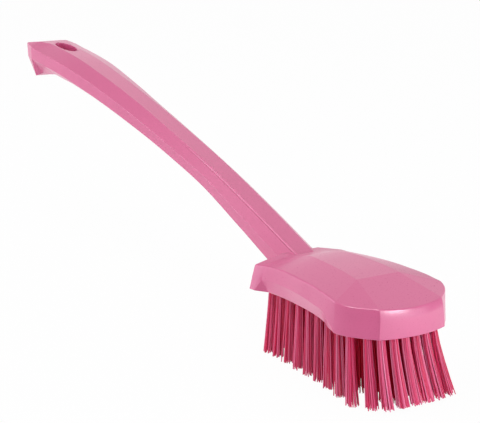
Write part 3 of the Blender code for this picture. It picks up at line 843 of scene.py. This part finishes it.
# %% The filaments' paths
FILAMENTS = 37
FILAMENT_RADIUS = 0.00028
FILAMENT_STEPS = 5
STAPLE_ROOM, HOLE_CLEARANCE = 0.0019, 0.0001
BUTT_TOP = DECK_Z + TUFT_HOLE_DEPTH - STAPLE_ROOM
ROOT_RADIUS = TUFT_HOLE_RADIUS - HOLE_CLEARANCE - FILAMENT_RADIUS
# Radius of the bundle's tip, and the power of its spread on the way down
OUTER_SPREAD, INNER_SPREAD = (0.0032, 1.2), (0.0056, 0.6)
STRAY, RAGGED_CUT = 0.10, 0.0005
SPLAY_LENGTH, SPLAY_WIDTH = 0.100, 0.250
SPLAY_CENTRE = np.array([NOSE_X - 0.5 * BLOCK_LENGTH, CENTRE_Y])
LEAN = np.array([0.029 * BLOCK_LENGTH, 0.139 * BLOCK_HALF_WIDTH])
FAR_LEAN, FAR_SIDE = 0.45, 0.7
NOSE_TRIM, TRIM_START = 0.0025, NOSE_X - 0.35 * BLOCK_LENGTH
TIP_LOW = np.array(CAD_BOX[0][:2]) + FILAMENT_RADIUS
TIP_HIGH = np.array(CAD_BOX[1][:2]) - FILAMENT_RADIUS


def filament_paths(base, seed, tip_radius, power):
    """Paths of one bundle, shape (filaments, steps, 3), and each filament's
    share of the bundle's radius and its turn round it. The filaments fill the
    root circle as seeds fill a sunflower. From the deck down, a point moves
    from its root place to its tip place by a power of t, the share of the way
    down."""
    random = np.random.default_rng(seed)
    i = np.arange(FILAMENTS) + 0.5
    radius = np.sqrt(i / FILAMENTS)
    turn = i * math.pi * (3 - math.sqrt(5)) + random.uniform(0, 2 * math.pi)
    disc = np.column_stack([radius * np.cos(turn), radius * np.sin(turn)])
    root = base + disc * ROOT_RADIUS
    far = np.clip((base[1] - CENTRE_Y) / (FAR_SIDE * BLOCK_HALF_WIDTH), 0, 1)
    lean = LEAN * (1 - (1 - FAR_LEAN) * far)
    middle = base + (base - SPLAY_CENTRE) * [SPLAY_LENGTH, SPLAY_WIDTH] + lean
    spread = disc + random.normal(0, STRAY, disc.shape)
    tip = np.clip(middle + spread * tip_radius, TIP_LOW, TIP_HIGH)
    rise = max(0.0, (base[0] - TRIM_START) / (NOSE_X - TRIM_START))
    end = NOSE_TRIM * rise**2 + np.abs(random.normal(0, RAGGED_CUT, FILAMENTS))
    # The first step is the butt in the hole, the second is at the deck
    t = np.concatenate([[0.0], np.linspace(0, 1, FILAMENT_STEPS)])
    xy = root[:, None, :] + (tip - root)[:, None, :] * (t**power)[None, :, None]
    z = DECK_Z + (end[:, None] - DECK_Z) * t
    z[:, 0] = BUTT_TOP
    return np.dstack([xy, z]), radius, turn


paths, _, _ = filament_paths(TUFT_BASE[0], 0, *OUTER_SPREAD)
print("one bundle's paths", paths.shape)

# %% [markdown]
# ## From paths to tubes with painted shade
# The light between bristles falls off fast, so that shade is painted into the bristles' colour,
# and small locks of pale and dark filaments are painted highlights for the gloss that crimped
# fibres catch. A texture can't know which filament it is on, so every point carries its filament's
# shade as an attribute: painted shade deep in the bundle's heart, livelier at its skin, and a
# deeper painted shadow in the inner rows.

# %% Build the bundles
FILAMENT_SIDES = 5
LOCKS = 4
# Painted light in the filaments' shade: darker heart, lighter skin, and locks of painted highlight
PAINTED_HEART_SHADE, PAINTED_SKIN_LIGHT, PAINTED_LOCK_HIGHLIGHT = 0.41, 0.05, 0.32
SHADE_SCATTER = (-0.22, 0.26)
DEEPEST_SHADE = 0.22
# Painted shadow of the inner rows
PAINTED_INNER_SHADOW = 0.10
SHADE_SEED = 1000
FILAMENT_SHARP_ANGLE = math.radians(60)


def tube_arrays(paths, radius, sides):
    """Points and quads of a tube on each path: a ring round every path point,
    in the level plane, from two directions square to the path's mean run."""
    count, steps, _ = paths.shape
    along = unit(paths[:, -1] - paths[:, 1])
    first = unit(np.cross(along, [1.0, 0.0, 0.0]))
    second = np.cross(along, first)
    round_path = circle(sides)
    offset = radius * (round_path[None, :, :1] * first[:, None]
                       + round_path[None, :, 1:] * second[:, None])
    offset[:, :, 2] = 0.0
    points = paths[:, :, None, :] + offset[:, None, :, :]
    number = np.arange(count * steps * sides).reshape(count, steps, sides)
    following = np.roll(number, -1, axis=2)
    quads = np.stack([number[:, :-1], following[:, :-1], following[:, 1:], number[:, 1:]], axis=-1)
    return points.reshape(-1, 3), quads.reshape(-1, 4), number[:, 0, ::-1], number[:, -1]


def bundle_mesh(name, base, seed, inner):
    """All filaments of one tuft as one mesh. The shade is the heart's painted shade, plus the
    radius times a lighter skin and a sine round the bundle for locks of painted highlight, plus a
    random tone, then clipped. An inner tuft's is a tenth of that, a painted shadow."""
    paths, radius, turn = filament_paths(base, seed, *(INNER_SPREAD if inner else OUTER_SPREAD))
    points, quads, tops, ends = tube_arrays(paths, FILAMENT_RADIUS, FILAMENT_SIDES)
    mesh = bpy.data.meshes.new(name)
    mesh.from_pydata(points.tolist(), [], quads.tolist() + tops.tolist() + ends.tolist())
    random = np.random.default_rng(seed + SHADE_SEED)
    # Locks of lighter and darker filaments round the bundle are painted highlights
    lock_highlight = np.sin(LOCKS * turn + random.uniform(0, 2 * math.pi))
    # Painted shade: darker in the bundle's heart, lighter at its skin
    shade = PAINTED_HEART_SHADE + (PAINTED_SKIN_LIGHT + PAINTED_LOCK_HIGHLIGHT * lock_highlight) * radius
    shade = np.clip(shade + random.uniform(*SHADE_SCATTER, FILAMENTS), DEEPEST_SHADE, 1)
    # An inner tuft's tenth is a painted shadow
    shade = np.repeat(shade * (PAINTED_INNER_SHADOW if inner else 1.0), len(points) // FILAMENTS)
    attribute = mesh.attributes.new("shade", "FLOAT", "POINT")
    attribute.data.foreach_set("value", shade.astype(np.float32))
    mesh.shade_smooth()
    mesh.set_sharp_from_angle(angle=FILAMENT_SHARP_ANGLE)
    return mesh


bundles = []
for index, (label, _, _) in enumerate(TUFTS):
    name = "bristles_" + label
    mesh = bundle_mesh(name, TUFT_BASE[index], index, label.startswith("inner"))
    bundles.append(new_object(name, mesh))
print(len(bundles), "bundles,", FILAMENTS * len(bundles), "filaments,",
      sum(len(bundle.data.polygons) for bundle in bundles), "faces")

# %% [markdown]
# ## Staples
# A staple of stainless wire crosses each fold and bites into the plastic at
# the bottom of the hole. It can't be seen, but the bundle would fall out
# without it. All 56 are one small prism each, made as the holes' cutters are.

# %% Build the staples
STAPLE_LENGTH, STAPLE_WIDTH, STAPLE_HEIGHT = 0.0030, 0.0008, 0.0016
bar = np.array([(-1, -1), (1, -1), (1, 1), (-1, 1)]) * [STAPLE_LENGTH / 2, STAPLE_WIDTH / 2]
staples = new_object("staples", stack_mesh("staples", TUFT_BASE, np.array([bar, bar]),
                                           [BUTT_TOP, BUTT_TOP + STAPLE_HEIGHT]))

# %% [markdown]
# ## Finishes
# Moulded plastic is never quite one colour: the tool's fine spark-eroded
# grain scatters light, and flow leaves slow changes in tone. One node group
# makes both, and the moulding and the bristles use it with their own values.
# It reads Object coordinates, which on pieces at the origin are plain metres.

# %% Helpers for nodes
def connect(tree, value, target):
    """Links a socket to an input, or sets the input to a plain value."""
    if isinstance(value, bpy.types.NodeSocket):
        tree.links.new(value, target)
    else:
        target.default_value = value


def add_node(tree, kind, inputs=(), **settings):
    """A node with its settings, and with values or sockets on its inputs, each
    by name or number."""
    node = tree.nodes.new("ShaderNode" + kind)
    for name, value in settings.items():
        setattr(node, name, value)
    for name, value in dict(inputs).items():
        connect(tree, value, node.inputs[name])
    return node


def math_node(tree, operation, *values):
    """The result of a Math node on values or sockets."""
    return add_node(tree, "Math", enumerate(values), operation=operation).outputs[0]


def spread_nodes(tree):
    """Lays the nodes out in columns of four, in the order they were made."""
    for i, node in enumerate(tree.nodes):
        node.location = (240 * (i // 4), -280 * (i % 4))
    print(tree.name, len(tree.nodes), "nodes")


# %% The grain group
SLOW_NOISE, MID_NOISE, FINE_NOISE = (22.0, 2.0), (420.0, 2.0), (1800.0, 3.0)
GRAIN_ROUGHNESS, MID_HEIGHT = 0.10, 0.5


def moulded_grain_group():
    """Colour times (1 + flow x slow noise + grain x fine noise), a height of
    fine and mid noise, and a roughness that follows the fine noise."""
    tree = bpy.data.node_groups.new("moulded grain", "ShaderNodeTree")
    for way, name, kind in (("INPUT", "Vector", "Vector"), ("INPUT", "Colour", "Color"),
                            ("INPUT", "Flow", "Float"), ("INPUT", "Grain", "Float"),
                            ("INPUT", "Roughness", "Float"), ("OUTPUT", "Colour", "Color"),
                            ("OUTPUT", "Roughness", "Float"), ("OUTPUT", "Height", "Float")):
        tree.interface.new_socket(name=name, in_out=way, socket_type="NodeSocket" + kind)
    enter = tree.nodes.new("NodeGroupInput").outputs
    slow, mid, fine = (
        add_node(tree, "TexNoise", {"Vector": enter["Vector"], "Scale": scale,
                                    "Detail": detail}).outputs["Fac"]
        for scale, detail in (SLOW_NOISE, MID_NOISE, FINE_NOISE))
    slow_part = math_node(tree, "MULTIPLY", math_node(tree, "SUBTRACT", slow, 0.5), enter["Flow"])
    fine_part = math_node(tree, "MULTIPLY", math_node(tree, "SUBTRACT", fine, 0.5), enter["Grain"])
    tone = math_node(tree, "ADD", math_node(tree, "ADD", slow_part, fine_part), 1.0)
    colour = add_node(tree, "VectorMath", {0: enter["Colour"], "Scale": tone}, operation="SCALE")
    leave = tree.nodes.new("NodeGroupOutput").inputs
    tree.links.new(colour.outputs[0], leave["Colour"])
    tree.links.new(math_node(tree, "MULTIPLY_ADD", fine, GRAIN_ROUGHNESS, enter["Roughness"]),
                   leave["Roughness"])
    tree.links.new(math_node(tree, "MULTIPLY_ADD", mid, MID_HEIGHT, fine), leave["Height"])
    spread_nodes(tree)
    return tree


GRAIN = moulded_grain_group()

# %% [markdown]
# ## The moulding's colours
# The moulding is a mid pink that looks paler where it is seen at a slant. That is Fresnel
# reflection of the bright studio, so one base colour does for all facets. The handle's rounded
# edges are a little glossier, and a little paler as a painted highlight along them.

# %% Colour the moulding
BUMP_STRENGTH = 0.25
# Colour, roughness, flow, grain, and depth of the grain in metres
FACES_FINISH = (0.665, 0.116, 0.272), 0.24, 0.06, 0.08, 0.00004
# The edges' paler colour is a painted highlight
EDGES_PAINTED_HIGHLIGHT_FINISH = (0.700, 0.155, 0.302), 0.20, 0.06, 0.08, 0.00002


def plastic_material(material, colour, roughness, flow, grain, depth):
    """Fills a material: a Principled plastic with the grain group on Object
    coordinates. Returns its tree, its shader and the group's node."""
    material.use_nodes = True
    tree = material.node_tree
    shader = tree.nodes["Principled BSDF"]
    place = add_node(tree, "TexCoord").outputs["Object"]
    group = add_node(tree, "Group", node_tree=GRAIN)
    for name, value in (("Vector", place), ("Colour", (*colour, 1.0)), ("Flow", flow),
                        ("Grain", grain), ("Roughness", roughness)):
        connect(tree, value, group.inputs[name])
    bump = add_node(tree, "Bump", {"Strength": BUMP_STRENGTH, "Distance": depth,
                                   "Height": group.outputs["Height"]})
    tree.links.new(group.outputs["Colour"], shader.inputs["Base Color"])
    tree.links.new(group.outputs["Roughness"], shader.inputs["Roughness"])
    tree.links.new(bump.outputs["Normal"], shader.inputs["Normal"])
    return tree, shader, group


for material, finish in ((faces_plastic, FACES_FINISH), (edges_plastic_painted_highlight, EDGES_PAINTED_HIGHLIGHT_FINISH)):
    tree, _, _ = plastic_material(material, *finish)
    spread_nodes(tree)

# %% [markdown]
# ## The bristles' colours
# The bristles are a deeper pink. Their darks lie in the gaps between the tufts, deepened there by
# a painted shadow, and their lights are the filaments' own gloss and painted highlights on pale
# filaments. A ramp turns each filament's shade into one of three pinks: the darkest is the painted
# shadow's colour, and the palest is partly a painted highlight. The inner rows stand in shadow,
# and a copy of the material with less gloss paints that shade in.

# %% Colour the bristles and the staples
# The ramp's darkest pink is a painted shadow and its palest partly a painted highlight
BRISTLE_PAINTED_LIGHT_RAMP = ((0.0, (0.68, 0.003, 0.040)), (0.35, (0.81, 0.065, 0.195)),
                (1.0, (0.95, 0.29, 0.50)))
BRISTLE_FINISH = (0.81, 0.065, 0.195), 0.20, 0.10, 0.05, 0.00002
# Less gloss on the inner rows is painted shade
OUTER_GLOSS, SHADED_INNER_GLOSS = 0.3, 0.08


def bristle_material(name, gloss):
    """Bristle plastic: the filament's own shade through a ramp of three pinks."""
    material = bpy.data.materials.new(name)
    tree, shader, group = plastic_material(material, *BRISTLE_FINISH)
    shader.inputs["Specular IOR Level"].default_value = gloss
    shade = add_node(tree, "Attribute", attribute_name="shade").outputs["Fac"]
    ramp = add_node(tree, "ValToRGB", {"Fac": shade})
    stops = ramp.color_ramp.elements
    for position, _ in BRISTLE_PAINTED_LIGHT_RAMP[1:-1]:
        stops.new(position)
    for stop, (_, colour) in zip(stops, BRISTLE_PAINTED_LIGHT_RAMP):
        stop.color = (*colour, 1.0)
    tree.links.new(ramp.outputs["Color"], group.inputs["Colour"])
    spread_nodes(tree)
    return material


outer_bristle = bristle_material("pink bristle", OUTER_GLOSS)
shaded_inner_bristle = bristle_material("pink bristle, inner rows", SHADED_INNER_GLOSS)

steel = bpy.data.materials.new("stainless staple wire")
steel.use_nodes = True
steel_shader = steel.node_tree.nodes["Principled BSDF"]
for name, value in (("Base Color", (0.62, 0.62, 0.60, 1.0)), ("Metallic", 1.0),
                    ("Roughness", 0.35)):
    steel_shader.inputs[name].default_value = value
print("bristle and staple finishes:", outer_bristle.name, shaded_inner_bristle.name, steel.name, sep=", ")

# %% [markdown]
# ## Each piece takes its place in the frame
# The moulding stands for the CAD's body, and each bundle for its own tuft, so
# those nodes are hidden and stay in the physics. The staples are part of the
# tufts in the CAD, so they stand for no node of their own.

# %% Tie the pieces to the frame
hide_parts("brush_body")
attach(moulding, "root")
for bundle, (label, _, _) in zip(bundles, TUFTS):
    bundle.data.materials.append(shaded_inner_bristle if label.startswith("inner") else outer_bristle)
    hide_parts("tuft_" + label)
    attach(bundle, "root")
staples.data.materials.append(steel)
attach(staples, "root")
print("pieces on the root body:", 2 + len(bundles))

# %% [markdown]
# ## The studio's floor
# The photograph has a plain white ground. The floor is almost white. To the
# camera and to gloss nearly all of it is a plain white glow, and the small
# rest is its own surface, which keeps the brush's shadow. For gloss alone the
# glow is stronger in two soft pools, one under the brush and one beyond it:
# they light the upright sides as the over-exposed ground does in the
# photograph, and leave the object's colour alone.

# %% Build the floor
bpy.context.scene.view_settings.view_transform = "Standard"
WHITE = (1.0, 1.0, 1.0, 1.0)
FLOOR_SIZE = 12.0
FLOOR_COLOUR = (0.92, 0.92, 0.92, 1.0)
FLOOR_GLOW = 0.97
# Centre of a pool, the distances over which it fades, and its extra light
POOLS = (((-0.05, -0.10, 0.0), (0.12, 0.45), 0.60),
         ((0.74, 0.26, 0.0), (0.20, 0.65), 4.6))


def fade_node(tree, value, span, result, shape="SMOOTHSTEP"):
    """A factor that goes from the first to the second result while a value
    crosses a span."""
    return add_node(tree, "MapRange", {"Value": value, "From Min": span[0], "From Max": span[1],
                                       "To Min": result[0], "To Max": result[1]},
                    interpolation_type=shape).outputs[0]


def vector_value(tree, operation, first, second):
    """The number a Vector Math node makes of two vectors."""
    node = add_node(tree, "VectorMath", {0: first, 1: second}, operation=operation)
    return node.outputs["Value"]


floor_mesh = bpy.data.meshes.new("floor")
corners = np.array([(-1, -1, 0), (1, -1, 0), (1, 1, 0), (-1, 1, 0)]) * FLOOR_SIZE
floor_mesh.from_pydata(corners.tolist(), [], [(0, 1, 2, 3)])
floor = new_object("floor", floor_mesh)
floor_material = bpy.data.materials.new("studio floor")
floor_material.use_nodes = True
tree = floor_material.node_tree
floor_shader = tree.nodes["Principled BSDF"]
for name, value in (("Base Color", FLOOR_COLOUR), ("Roughness", 0.9), ("Specular IOR Level", 0.0)):
    floor_shader.inputs[name].default_value = value
ray = add_node(tree, "LightPath").outputs
ground = add_node(tree, "TexCoord").outputs["Object"]
pools = [fade_node(tree, vector_value(tree, "DISTANCE", ground, centre), reach, (extra, 0.0))
         for centre, reach, extra in POOLS]
pool_light = math_node(tree, "ADD", *pools)
glow = add_node(tree, "Emission", {
    "Color": WHITE,
    "Strength": math_node(tree, "MULTIPLY_ADD", pool_light, ray["Is Glossy Ray"], 1.0)})
seen = math_node(tree, "MAXIMUM", ray["Is Camera Ray"], ray["Is Glossy Ray"])
surface = add_node(tree, "MixShader", {0: math_node(tree, "MULTIPLY", seen, FLOOR_GLOW),
                                       1: floor_shader.outputs[0], 2: glow.outputs[0]})
tree.links.new(surface.outputs[0], tree.nodes["Material Output"].inputs["Surface"])
floor.data.materials.append(floor_material)
spread_nodes(tree)

# %% [markdown]
# ## The studio's walls
# The world is plain white to the camera. For light it is a white tent, about
# half as strong for the object's colour as for gloss, with a brighter
# ceiling, a darker side towards the camera and two gaps between its cards.
# Without the dark places every facet would mirror the same white, and the
# crown's facets would melt into one.

# %% Build the world
WORLD_DIFFUSE, WORLD_GLOSSY = 0.51, 1.1
# Direction of a side, the cosines over which it fades, and its share of light
DARK_SIDES = (((0.80, -0.57, 0.20), (0.2, 0.95), 0.55),
              ((-0.85, -0.04, 0.52), (0.93, 0.99), 0.4),
              ((-0.60, 0.80, 0.00), (0.93, 0.99), 0.55))
CEILING_SPAN, CEILING_LIGHT = (0.15, 0.70), 1.20

world = bpy.data.worlds.new("studio")
bpy.context.scene.world = world
world.use_nodes = True
tree = world.node_tree
ray = add_node(tree, "LightPath").outputs
direction = add_node(tree, "TexCoord").outputs["Generated"]
height = add_node(tree, "SeparateXYZ", {0: direction}).outputs["Z"]
strength = fade_node(tree, height, CEILING_SPAN, (1.0, CEILING_LIGHT))
for side, span, share in DARK_SIDES:
    facing = vector_value(tree, "DOT_PRODUCT", direction, side)
    strength = math_node(tree, "MULTIPLY", strength, fade_node(tree, facing, span, (1.0, share)))
level = fade_node(tree, ray["Is Glossy Ray"], (0.0, 1.0), (WORLD_DIFFUSE, WORLD_GLOSSY), "LINEAR")
background = tree.nodes["Background"]
connect(tree, WHITE, background.inputs["Color"])
connect(tree, math_node(tree, "MULTIPLY", strength, level), background.inputs["Strength"])
white = add_node(tree, "Background", {"Color": WHITE, "Strength": 1.0})
surface = add_node(tree, "MixShader", {0: ray["Is Camera Ray"], 1: background.outputs[0],
                                       2: white.outputs[0]})
tree.links.new(surface.outputs[0], tree.nodes["World Output"].inputs["Surface"])
spread_nodes(tree)

# %% [markdown]
# ## The lamps
# Four large softboxes give the plain soft light. Three more lamps light gloss
# alone: small ones that put the thin highlights on the nose's cushioned edge,
# the cheek's edge and the handle, where the photograph shows softboxes
# mirrored. All are hidden from the camera.

# %% Hang the softboxes
AIM = (0.08, 0.0, 0.05)
NOSE_AIM = (0.205, -0.006, 0.047)
NEUTRAL, COOL = (1.0, 1.0, 1.0), (0.93, 0.90, 1.0)
# Name, place, aim, width, height, power, colour and whether it lights colour
LAMPS = (
    ("top softbox", (0.0, -0.25, 1.4), AIM, 0.6, 0.6, 3.6, NEUTRAL, True),
    ("right softbox", (1.18, 0.36, 0.18), AIM, 1.2, 0.36, 5.0, COOL, True),
    ("front softbox", (1.00, -0.45, 0.85), AIM, 0.6, 0.6, 1.7, NEUTRAL, True),
    ("left softbox", (-0.80, -1.00, 0.30), AIM, 1.0, 1.0, 10.0, COOL, True),
    ("edge softbox", (0.2656, 0.0083, 0.079), NOSE_AIM, 0.036, 0.022, 0.06, NEUTRAL, False),
    ("cheek softbox", (0.494, -0.629, 1.165), AIM, 0.35, 0.35, 11.0, NEUTRAL, False),
    ("handle softbox", (-0.53, -0.46, 1.02), AIM, 0.22, 0.22, 0.45, NEUTRAL, False),
)

for name, place, aim, width, height, power, colour, lights_colour in LAMPS:
    data = bpy.data.lights.new(name, "AREA")
    data.shape = "RECTANGLE"
    data.size, data.size_y = width, height
    data.color, data.energy = colour, power
    lamp = bpy.data.objects.new(name, data)
    bpy.context.scene.collection.objects.link(lamp)
    back = unit(np.subtract(place, aim))
    side = unit(np.cross([0.0, 0.0, 1.0], back))
    lamp.matrix_world = pose_matrix(side, np.cross(back, side), back, place)
    lamp.visible_camera = False
    lamp.visible_diffuse = lights_colour
print(len(LAMPS), "lamps")
